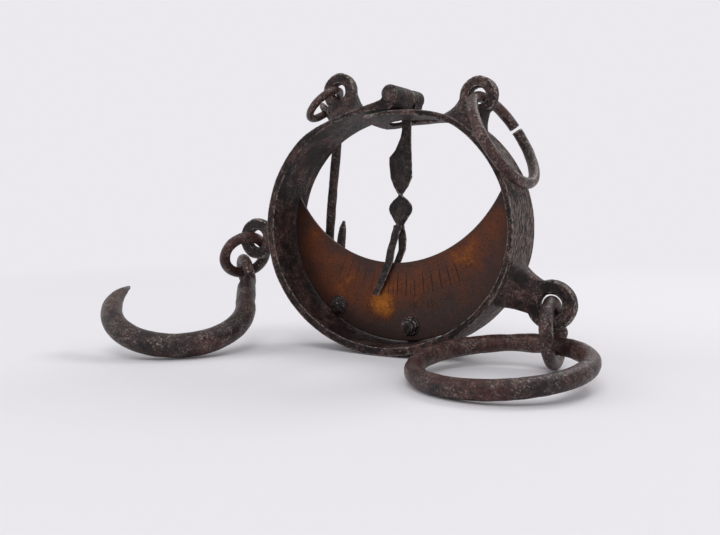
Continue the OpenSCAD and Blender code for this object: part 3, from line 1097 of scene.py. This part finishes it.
@dataclass(frozen=True)
class Ring:
    """Forged ring or link, closed by a hammer weld or open at a butt joint."""

    name: str
    node: str
    body: Body
    radius: float
    wire: float
    at: XYZ
    turn: XZ
    weld: Optional[float] = None
    lump: float = 0.10
    lump_wide: float = 9.0
    neck: float = 0.05
    neck_at: float = 16.0
    neck_wide: float = 8.0
    gap: Optional[XZ] = None
    seed: float = 0.0

    def build(self, look: Material) -> None:
        """Builds the ring.

        Args:
            look: Its iron.
        """
        place = ring_place(self.at, self.turn)
        if self.gap:
            middle, width = self.gap
            half = math.degrees(width / self.radius) / 2
            angles = np.radians(np.linspace(middle + half, middle + 360 - half, 121))
            flat = [Vector((x, y, 0)) for x, y in arc((0, 0), self.radius, angles)]
            path = [place @ (p * MM) / MM for p in flat]
            bm = swept(path, [self.wire] * len(path))
        else:
            bm = wire_ring(self.radius, self.wire, 160, 32)
            self._swell(bm)
            placed(bm, place)
        voxel = 0.3 if self.wire < 2.2 else 0.4
        forging = Forging(voxel=voxel, passes=4, dent=0.3, dent_size=5, pit=0.1, seed=self.seed)
        mesh = hammered([bm], forging)
        show(self.name, worn(mesh, self.wire * 0.55), look, self.body, [self.node])

    def _swell(self, bm: BMesh) -> None:
        """Works unevenness and the weld's lump into a plain ring."""
        for vert in bm.verts:
            x, y = vert.co.x, vert.co.y
            t = math.atan2(y, x)
            core = Vector((math.cos(t), math.sin(t), 0)) * self.radius * MM
            grow = 1 + 0.02 * math.sin(3 * t + self.seed) - 0.03
            if self.weld is not None:
                off = math.degrees(math.remainder(t - math.radians(self.weld), math.tau))
                neck = self.neck * bell((off - self.neck_at) / self.neck_wide)
                grow += self.lump * bell(off / self.lump_wide) - neck
            vert.co = core + (vert.co - core) * grow


@dataclass
class Hook:
    """Shared by both hooks: an eye with a bar that was drawn out to a point."""

    name: str
    node: str
    body: Body
    eye_at: XYZ
    eye_turn: XZ
    eye_radius: float
    eye_wire: float
    heading: float
    lean: float
    voxel: float

    def hook_place(self) -> Matrix:
        """Frame of the bar: X toward the point, Z up the shank."""
        return moved(self.eye_at) @ rotated(self.heading, "Z") @ rotated(self.lean, "X")

    def bar(self) -> list[XYZ]:
        """Middle line and radius of the bar, as x, z and radius in mm."""
        raise NotImplementedError

    def build(self, look: Material) -> None:
        """Builds the hook.

        Args:
            look: Its iron.
        """
        place = self.hook_place()
        line = self.bar()
        path = [place @ (Vector((x, 0, z)) * MM) / MM for x, z, _ in line]
        eye = wire_ring(self.eye_radius, self.eye_wire, 64, 24)
        placed(eye, ring_place(self.eye_at, self.eye_turn))
        forging = Forging(
            voxel=self.voxel, passes=5, dent=0.4, dent_size=7, pit=0.12, seed=self.heading
        )
        mesh = hammered([eye, swept(path, [r for _, _, r in line])], forging)
        show(self.name, worn(mesh, 2.0), look, self.body, [self.node])


class HeavyHook(Hook):
    """Thick hook of the heavy pair, lying on its bend."""

    bend_radius = 32.1
    bend_middle = (35.0, -30.4)
    last = 219
    tip_from = 130
    tip_inset = 1.0
    thickness = [
        (0, 5.0), (20, 5.4), (45, 5.7), (75, 5.85), (110, 5.65), (140, 5.6),
        (165, 5.4), (185, 4.8), (200, 3.6), (211, 2.2), (219, 0.9),
    ]

    def bar(self) -> list[XYZ]:
        """Middle line and radius of the bar, as x, z and radius in mm."""
        # The shank thickens below the eye
        line = [(0.0, -6.2, 3.2), (0.3, -10.2, 3.9), (1.0, -15.0, 4.8), (1.9, -22.0, 5.1)]
        for t in [*range(-2, self.last - 2, 3), self.last]:
            a = math.radians(t)
            drawn = ease((t - self.tip_from) / (self.last - self.tip_from))
            reach = self.bend_radius - self.tip_inset * drawn
            x = self.bend_middle[0] - reach * math.cos(a)
            z = self.bend_middle[1] - reach * math.sin(a)
            line.append((x, z, lookup(self.thickness, t)))
        return line


class LightHook(Hook):
    """Thin hook of the light pair, hanging behind the hoop."""

    shank_x = 12.8
    neck_radius = 7.5
    bend_radius = 6.85
    bend_z = -68.4
    tip_rise = 14.5
    bar_radius = 2.5

    def bar(self) -> list[XYZ]:
        """Middle line and radius of the bar, as x, z and radius in mm."""
        neck_x = self.shank_x - self.neck_radius
        # The neck leaves the eye sideways and turns down into the shank
        line = [(self.eye_radius, -1.2, 1.6)]
        for t in range(90, -1, -10):
            a = math.radians(t)
            rise = -self.neck_radius - 4 + self.neck_radius * math.sin(a)
            radius = 2.0 if t > 80 else self.bar_radius
            line.append((neck_x + self.neck_radius * math.cos(a), rise, radius))
        # The shank isn't quite straight
        for off, z in ((0.4, -26), (0.6, -40), (0.3, -55)):
            line.append((self.shank_x - off, z, self.bar_radius))
        for t in range(0, 181, 10):
            a = math.radians(t)
            x = self.shank_x + self.bend_radius - self.bend_radius * math.cos(a)
            line.append((x, self.bend_z - self.bend_radius * math.sin(a), self.bar_radius))
        # Past the bend the bar rises and thins to its point
        tip = self.shank_x + 2 * self.bend_radius
        for off, share, radius in ((0.1, 0.4, 2.4), (0.5, 0.75, 1.9), (1.2, 1.0, 0.8)):
            line.append((tip + off, self.bend_z + share * self.tip_rise, radius))
        return line


@dataclass
class Pointer:
    """Flat bar twisted twice, with an eye above and a fork below."""

    thick: float = 2.1
    eye_outer: float = 3.7
    eye_inner: float = 1.8
    eye_half: float = 1.4
    upper_waist: float = 74.4
    lower_waist: float = 59.2
    twist_half: float = 4.0
    waist_half: float = 2.5
    prong_half: float = 0.8
    prong_z: XZ = (59.5, 25.5)
    grown: float = 0.3
    front_y: float = 2.5
    back_y: float = 7.5
    left: tuple[XZ, ...] = (
        (59.2, 0.3), (62.8, -2.5), (65, -4), (67, -4.5), (69, -4), (71.2, -1.9), (74.4, 0.8),
        (77.7, -1.8), (81.4, -3.4), (87.5, -4.1), (91.2, -4.1), (94.4, -0.9), (100, 2.0),
        (103.5, 2.8), (109, 2.7), (116, 2.7),
    )
    right: tuple[XZ, ...] = (
        (59.2, 2.3), (62.8, 5.3), (65, 7.2), (67, 7.7), (69, 7.2), (71.2, 5.3), (74.4, 2.4),
        (77.7, 5.6), (81.4, 7.6), (87.5, 7.5), (91.2, 7.4), (94.4, 7.2), (103.5, 7.1),
        (109, 7.5), (116, 7.5),
    )
    front: tuple[XYZ, ...] = (
        (57.5, -1.2, 2.4), (52.5, -2.3, 0.9), (47.7, -4.1, -0.7), (42, -5.2, -1.6),
        (35.8, -8.0, -4.5), (30.9, -10.2, -7.0), (26.8, -12.2, -9.2), (25.6, -12.1, -10.0),
    )
    back: tuple[XYZ, ...] = (
        (57.5, -1.2, 2.6), (52.5, -0.9, 3.1), (47.7, -0.8, 2.7), (42, -3.2, 0.2),
        (35.8, -7.0, -3.8), (30.9, -9.8, -6.8), (26.8, -11.8, -9.2), (25.6, -11.9, -10.2),
    )

    def build(self, look: Material) -> None:
        """Builds the pointer.

        Args:
            look: Its iron.
        """
        prongs = [self._prong(self.front, self.front_y), self._prong(self.back, self.back_y)]
        forging = Forging(
            voxel=0.26, passes=4, dent=0.12, dent_size=4, pit=0.05, pit_size=1.2, seed=3.1
        )
        mesh = hammered([self._blade(), self._eye(), *prongs], forging)
        show("pointer_blade", worn(mesh, 0.8), look, Body.POINTER, ["pointer"])

    def _twist(self, z: float) -> float:
        """Turn of the bar at a height, in degrees."""
        above = ease((self.upper_waist + self.twist_half - z) / (2 * self.twist_half))
        below = ease((self.lower_waist + self.twist_half - z) / (2 * self.twist_half))
        return 180 * above + 180 * below

    def _blade(self) -> BMesh:
        """Stem, leaf, round swelling and both twists."""
        sections = []
        for z in np.arange(116, 58.9, -0.55):
            low, high = lookup(self.left, z), lookup(self.right, z)
            half = (high - low) / 2 + self.grown
            near = min(abs(z - self.upper_waist), abs(z - self.lower_waist))
            # A waist is a bar on edge, so it keeps a width of its own
            half = max(half, self.waist_half * (1 - ease((near - 2.2) / 2.6)))
            place = moved(((low + high) / 2, POINTER_Y, z)) @ rotated(self._twist(z), "Z")
            sections.append(Section(place, half, self.thick / 2, 0.75))
        return lofted(sections, 24)

    def _eye(self) -> BMesh:
        """Eye round the pin."""
        profile = [
            (self.eye_inner, -self.eye_half),
            (self.eye_outer, -self.eye_half),
            (self.eye_outer, self.eye_half),
            (self.eye_inner, self.eye_half),
        ]
        place = facing_front((BARREL[0], POINTER_Y, BARREL[1]))
        return placed(turned(profile, closed=True), place)

    def _prong(self, outline: Sequence[XYZ], y: float) -> BMesh:
        """One prong of the fork, from the lower twist to its tip.

        Args:
            outline: Height with left and right edge, from the top down.
            y: Depth that it runs at.

        Returns:
            The new mesh.
        """
        sections = []
        rows = outline[::-1]
        for z in np.arange(*self.prong_z, -0.7):
            low = lookup([(r[0], r[1]) for r in rows], z)
            high = lookup([(r[0], r[2]) for r in rows], z)
            # The prongs part to both sides of the dial and thin out
            spread = ease((self.prong_z[0] - z) / 5)
            depth = POINTER_Y + (y - POINTER_Y) * (0.45 + 0.55 * spread)
            # The front prong grows more than the back one; part of its extra width stands in for
            # its shadow on the dial
            half = max((high - low) / 2, 0.3) + (1.7 if y < POINTER_Y else 1.0) * self.grown
            thick = self.prong_half * (1.3 - 0.45 * spread)
            sections.append(Section(moved(((low + high) / 2, depth, z)), half, thick, 0.8))
        return lofted(sections, 20)


@dataclass
class Dial:
    """Crescent of brass with strokes, numerals and two studs."""

    middle_x: float = -2.6
    top: XZ = (102.2, 60.55)
    play: float = 0.35
    front: float = 4.3
    back: float = 5.7
    zero: float = -10.1
    stroke_step: float = 3.02
    strokes: tuple[int, int] = (-5, 10)
    stroke_near: float = 81.0
    stroke_far: float = 92.0
    # Distance from the hoop's middle where the painted shade along the band begins
    band_shade_from: float = 49.0
    head: float = 4.8
    stud_angles: XZ = (232.5, 277.2)
    stud_depths: XZ = (9.8, 11.4)
    text_high: float = 4.4
    numerals: tuple[tuple[str, float, float], ...] = (
        ("0", -12.9, 100.0), ("5", -6.2, 97.0), ("10", 0.9, 96.0),
        ("15", 6.6, 95.6), ("20", 12.6, 93.0), ("25", 21.4, 81.5),
    )
    # Painted highlights on rubbed brass: each spot's x, z, size and strength
    polish_and_highlight_spots: tuple[tuple[float, ...], ...] = (
        (-8, 20, 4.5, 0.85), (-22, 25, 8, 0.36), (-37, 36, 8, 0.4), (-49, 53, 7, 0.35),
        (12, 31, 9, 0.38), (34, 44, 9, 0.42), (46, 59, 7, 0.3), (-6, 28, 8, 0.3),
    )
    # Dark patches low on the dial: each spot's x, z, size and strength
    dark_spots: tuple[tuple[float, ...], ...] = (
        (-12, 10, 7, 0.9), (4, 17, 7, 0.6), (22, 20, 9, 0.9), (38, 32, 7, 0.5), (-30, 14, 5, 0.4),
    )

    def build(self, brass: Material, ink: Material, iron: Material) -> None:
        """Builds the plate, its marks and the studs.

        Args:
            brass: Look of the plate.
            ink: Look of the marks.
            iron: Look of the studs.
        """
        forging = Forging(voxel=0.34, passes=3, dent=0.1, dent_size=12, pit=0.03, seed=9)
        plate = hammered([slab(self._outline(), self.front, self.back)], forging)
        places, _ = arrays(plate)
        # Painted highlights stand in for the light that the rubbed brass reflects
        store(plate, "polish_and_highlight", self._spread(places / MM, self.polish_and_highlight_spots))
        # Painted shade along the band, a darker upper edge and dark patches
        painted_shade_and_spots = self._spread(places / MM, self.dark_spots) + self._darker_borders(places)
        store(plate, "painted_shade_and_spots", np.clip(painted_shade_and_spots, 0, 1))
        show("dial_crescent", plate, brass, Body.FRAME, ["dial_plate"])
        self._strokes(ink)
        self._numerals(ink)
        self._studs(iron)

    def _outline(self) -> list[XZ]:
        """Outline of the crescent: the band's curve below and a circle above."""
        zt, rt = self.top
        edge = [inside(a, BAND + self.play) for a in np.linspace(150, 396, 247)]
        lower = [(p.x, p.z) for p in edge if math.hypot(p.x - self.middle_x, p.z - zt) > rt]
        ends = [math.atan2(z - zt, x - self.middle_x) for x, z in (lower[-1], lower[0])]
        upper = np.linspace(*ends, 120)[1:-1]
        return lower + arc((self.middle_x, zt), rt, upper)

    def _spread(self, places: np.ndarray, spots: Sequence[Sequence[float]]) -> np.ndarray:
        """How strongly round spots cover each place, from 0 to 1.

        Args:
            places: Places in mm.
            spots: Each spot's x and z, its size and its strength.

        Returns:
            One number for each place.
        """
        total = np.zeros(len(places))
        for x, z, size, power in spots:
            away = (places[:, 0] - x) ** 2 + (places[:, 2] - z) ** 2
            total += power * np.exp(-away / (2 * size**2))
        return np.clip(total, 0, 1)

    def _darker_borders(self, places: np.ndarray) -> np.ndarray:
        """Painted shade along the band and darkening along the upper edge, from 0 to 1."""
        below = np.clip((along_hoop(places)[:, 2] / MM - self.band_shade_from) / 8, 0, 1)
        x, z = places[:, 0] / MM - self.middle_x, places[:, 2] / MM - self.top[0]
        above = np.clip(1 - (np.hypot(x, z) - self.top[1]) / 4, 0, 1)
        return 0.9 * below + 0.55 * above

    def _at(self, angle: float, reach: float) -> Vector:
        """Point of the dial's front at an angle and reach from the pointer's pin."""
        t = math.radians(angle)
        x, z = BARREL[0] + reach * math.sin(t), BARREL[1] - reach * math.cos(t)
        return Vector((x, self.front, z))

    def _strokes(self, ink: Material) -> None:
        """Engraved strokes, long and short in turn."""
        strips = []
        for number in range(*self.strokes):
            angle = self.zero + number * self.stroke_step
            # Hands have rubbed the first strokes away almost wholly
            faint = number < 2
            near = self.stroke_near - 0.3 * max(number - 2, 0) + (3.5 if number == 4 else 0)
            far = self.stroke_far - 0.7 * max(number - 3, 0)
            strips.append(self._strip(angle, near, far, 0.13 if faint else 0.26))
            if 0 <= number < 9:
                strips.append(self._strip(angle + self.stroke_step / 2, near + 5.0, far - 1, 0.1))
        show("dial_strokes", joined(strips), ink, Body.FRAME)

    def _strip(self, angle: float, near: float, far: float, wide: float) -> BMesh:
        """Thin filled groove between two reaches."""
        a, b = self._at(angle, near), self._at(angle, far)
        side = (b - a).cross(Vector((0, 1, 0))).normalized() * wide
        # The graver cuts widest at a third of the stroke
        tip, widest = side * 0.45, a.lerp(b, 0.3)
        corners = [a - tip, widest - side, b - tip, b + tip, widest + side, a + tip]
        return slab([(c.x, c.z) for c in corners], self.front - 0.03, self.front + 0.3)

    def _numerals(self, ink: Material) -> None:
        """Plain numerals below the long strokes."""
        parts = []
        for text, angle, reach in self.numerals:
            spot = self._at(angle, reach)
            curve = bpy.data.curves.new("numeral", "FONT")
            curve.body = text
            curve.size = self.text_high * MM
            curve.offset = -0.06 * MM
            curve.extrude = 0.12 * MM
            curve.align_x = "CENTER"
            curve.align_y = "CENTER"
            place = facing_front((spot.x, self.front + 0.09, spot.z), rotated(-angle, "Y"))
            parts.append(placed(from_curve(curve), place))
        show("dial_numerals", joined(parts), ink, Body.FRAME)

    def _studs(self, iron: Material) -> None:
        """Domed left stud and grooved right stud."""
        shank = [(1.6, 0), (1.6, -4), (0, -4)]
        plain = [
            (0, 3.6), (1.5, 3.45), (2.9, 2.9), (3.9, 2.1), (4.6, 1.1), (self.head, 0.4),
            (self.head, 0),
        ]
        grooved = [
            (0, 3.6), (1.8, 3.5), (2.8, 3.1), (3.0, 2.6), (2.7, 2.4), (3.7, 2.1), (4.2, 1.7),
            (3.9, 1.35), (4.4, 1.1), (self.head, 0.5), (4.7, 0),
        ]
        names = ("dial_stud_left", "dial_stud_right")
        spots = map(inside, self.stud_angles, self.stud_depths)
        for name, at, profile in zip(names, spots, (plain, grooved)):
            bm = placed(turned(profile + shank, 48), facing_front((at.x, self.front, at.z)))
            forging = Forging(
                voxel=0.2, passes=2, dent=0.5, dent_size=3, pit=0.12, pit_size=1.2, seed=at.x
            )
            mesh = hammered([bm], forging)
            show(name + "_head", worn(mesh, 1.6), iron, Body.FRAME, [name])


@dataclass
class Pin:
    """Pin of the pointer, with both ends hammered over."""

    radius: float = 1.7
    head: float = 3.6
    head_high: float = 1.1

    def build(self, look: Material) -> None:
        """Builds the pin.

        Args:
            look: Its iron.
        """
        end = HALF_BAND + self.head_high
        half = [
            (self.radius, HALF_BAND), (self.head - 0.2, HALF_BAND + 0.02),
            (self.head, HALF_BAND + 0.3), (self.head - 0.6, end - 0.2), (self.head - 1.8, end),
            (0, end),
        ]
        profile = [(r, -h) for r, h in half[::-1]] + half
        bm = placed(turned(profile, 40), facing_front((BARREL[0], 0, BARREL[1])))
        forging = Forging(voxel=0.25, passes=3, dent=0.15, dent_size=2.5, pit=0.08, seed=5)
        mesh = hammered([bm], forging)
        show("pivot", worn(mesh, 1.0), look, Body.FRAME, ["pivot_pin"])


# Stage


@dataclass(frozen=True)
class Lamp:
    """Soft square lamp, with its places in metres and its power in watts."""

    name: str
    at: XYZ
    size: float
    power: float
    aim: XYZ = (0.0, 0.0, 0.05)

    def build(self) -> None:
        """Adds the lamp, turned to its aim."""
        light = bpy.data.lights.new(self.name, "AREA")
        light.shape = "SQUARE"
        light.size = self.size
        light.energy = self.power
        made = shown_in_scene(light)
        made.location = self.at
        away = Vector(self.aim) - Vector(self.at)
        made.rotation_euler = away.to_track_quat("-Z", "Y").to_euler()


@dataclass(frozen=True)
class Studio:
    """Pale seamless surroundings, soft lamps and the camera of the photo."""

    paper: PaperFinish = PaperFinish("paper")
    light: str = "#f3f3f6"
    strength: float = 0.71
    lamps: tuple[Lamp, ...] = (
        Lamp("key", (0.15, -0.50, 0.95), 0.5, 2.1),
        Lamp("left", (-0.9, -0.35, 0.55), 0.7, 1.3, aim=(-0.03, 0.0, 0.05)),
        Lamp("back", (0.30, 0.75, 0.85), 0.4, 3.6),
    )
    camera_mm: XYZ = (170.850, -305.657, 64.432)
    forward: XYZ = (-0.52448, 0.84853, -0.07015)
    up: XYZ = (-0.02885, 0.06463, 0.99749)
    lens: float = 37.5
    floor_half: float = 6.0

    def build(self) -> None:
        """Builds floor, world, lamps and camera."""
        self._floor()
        self._world()
        for lamp in self.lamps:
            lamp.build()
        self._camera()

    def _floor(self) -> None:
        """Floor that keeps the object's shadow and fades into the surroundings."""
        bm = bmesh.new()
        bmesh.ops.create_grid(bm, x_segments=2, y_segments=2, size=self.floor_half)
        mesh = joined([bm])
        mesh.name = "floor"
        mesh.materials.append(self.paper.material())
        shown_in_scene(mesh)

    def _world(self) -> None:
        """Even pale surroundings; what the camera sees has its own colour."""
        world = bpy.data.worlds.new("studio")
        world.use_nodes = True
        tree = world.node_tree
        tree.nodes.clear()
        backdrop = linear(self.paper.backdrop)
        seen = add(tree, "Background", {"Color": backdrop, "Strength": 1.0})
        light = add(tree, "Background", {"Color": linear(self.light), "Strength": self.strength})
        path = add(tree, "LightPath").outputs["Is Camera Ray"]
        mixed = add(tree, "MixShader", {0: path, 1: light.outputs[0], 2: seen.outputs[0]})
        add(tree, "OutputWorld", {"Surface": mixed.outputs[0]})
        bpy.context.scene.world = world

    def _camera(self) -> None:
        """Camera that stands where the photo's did."""
        data = bpy.data.cameras.new("camera")
        data.lens = self.lens
        data.sensor_width = 36.0
        data.clip_start = 0.01
        data.clip_end = 20.0
        made = shown_in_scene(data)
        forward = Vector(self.forward).normalized()
        right = forward.cross(Vector(self.up)).normalized()
        turn = columns_matrix(right, right.cross(forward), -forward)
        made.matrix_world = moved(self.camera_mm) @ turn
        bpy.context.scene.camera = made


# All of it

# The band shows the long lines of its forging, with scoured pale ridges on its outer face
SPRING = IronFinish(
    "spring_iron", dark="#2a1716", rust_share=0.45, wear_share=0.2, flecks=0.8, shine=0.24,
    streaked=True,
)
# Lugs, pin and light hook have a dry brown skin, rubbed grey at the edges
FORGED = IronFinish("forged_iron", wear_share=0.5)
# Rings and the heavy hook gleam softly, because hands and ropes rub them smooth and brown
WORN = IronFinish(
    "worn_iron", dark="#2b1a19", brown="#452522", rust="#5f352e", grey="#b0a298",
    rust_share=0.75, flecks=0.75, patch_mm=22, gloss=0.27, shine=0.36, relief=0.45,
)
# Pointer and studs were blackened in the fire, so they stand out darkest before the brass
BLACK = IronFinish(
    "blackened_iron", dark="#1c1413", brown="#2e1f1b", rust="#452d26", wear_share=0.5,
    flecks=0.2, gloss=0.36,
)
# The crescent is the only warm colour
BRASS = BrassFinish("dial_brass")
# Dirt in the engraving makes the scale readable
INK = InkFinish("stroke_dirt")
LUGS = (
    Lug(
        "lug_heavy_left", "heavy_lug_left", Body.FRAME, foot=184.7, hole=(-80.4, 52.5),
        bore=4.5, head=10.7, seed=1,
    ),
    Lug(
        "lug_heavy_right", "heavy_lug_right", Body.RIGHT_ARM, foot=-24.3, hole=(75.6, 26.2),
        bore=4.5, head=10.7, foot_long=11.5, seed=2,
    ),
    Lug(
        "lug_light_left", "light_lug_left", Body.FRAME, foot=112, hole=(-28.1, 123.0),
        bore=3.5, head=9.0, neck=8.2, foot_long=8.6, seed=3,
    ),
    Lug(
        "lug_light_right", "light_lug_right", Body.RIGHT_ARM, foot=53.5, hole=(43.0, 114.9),
        bore=3.5, head=8.7, foot_long=9.6, lean=-0.8, seed=4,
    ),
)
RINGS = (
    Ring(
        "link_left", "heavy_hook_link", Body.HOOK_LINK, radius=11, wire=2.9,
        at=(-87.86, -1.93, 43.8), turn=(150.3, 29.7), seed=5,
    ),
    Ring(
        "link_right", "heavy_ring_link", Body.RING_LINK, radius=12.5, wire=2.95,
        at=(77.83, -5.51, 15.53), turn=(5.1, 4.2), weld=82, lump=0.26, seed=6,
    ),
    Ring(
        "ring_big", "heavy_ring", Body.RING, radius=33, wire=4,
        at=(67.7, -38, 7.4), turn=(246.7, 84.2), weld=200, seed=7,
    ),
    Ring(
        "ring_small", "light_hook_link", Body.SMALL_RING, radius=9.2, wire=2,
        at=(-34.91, -3.27, 117.42), turn=(190.3, 48.2), seed=8,
    ),
    Ring(
        "ring_open", "light_ring", Body.OPEN_RING, radius=21.5, wire=2.5,
        at=(54.15, 0.57, 95.77), turn=(176.8, -29.1), gap=(251, 1.2), seed=9,
    ),
)
HEAVY_HOOK = HeavyHook(
    "hook_heavy", "heavy_hook", Body.HOOK, eye_at=(-91.03, 2.32, 34.2),
    eye_turn=(-125.6, -10.2), eye_radius=7.2, eye_wire=3.0, heading=225.0, lean=63.1, voxel=0.42,
)
LIGHT_HOOK = LightHook(
    "hook_light", "light_hook", Body.LIGHT_HOOK, eye_at=(-38.95, 4.81, 114.98),
    eye_turn=(38.0, 38.4), eye_radius=4.0, eye_wire=1.5, heading=95.7, lean=6.1, voxel=0.3,
)
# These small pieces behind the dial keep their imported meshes
KEPT = ("dial_bracket_left", "dial_bracket_right", "bracket_rivet_left", "bracket_rivet_right")


def corners(bounds: object) -> list:
    return [[float(v) for v in corner] for corner in bounds]


def main() -> None:
    """Builds the scene in order."""
    logging.basicConfig(level=logging.INFO, format="%(message)s")
    bpy.context.scene.view_settings.view_transform = "Standard"
    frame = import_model()
    forged, worn_iron, black = FORGED.material(), WORN.material(), BLACK.material()
    Hoop().build(SPRING.material())
    for piece in (*LUGS, Pin()):
        piece.build(forged)
    Pointer().build(black)
    Dial().build(BRASS.material(), INK.material(), black)
    for piece in (*RINGS, HEAVY_HOOK):
        piece.build(worn_iron)
    LIGHT_HOOK.build(forged)
    for name in KEPT:
        node = frame["nodes"][name]
        node.data.materials.clear()
        node.data.materials.append(forged)
        LOG.info("%s keeps its packed mesh", name)
    Studio().build()


if __name__ == "__main__":
    main()
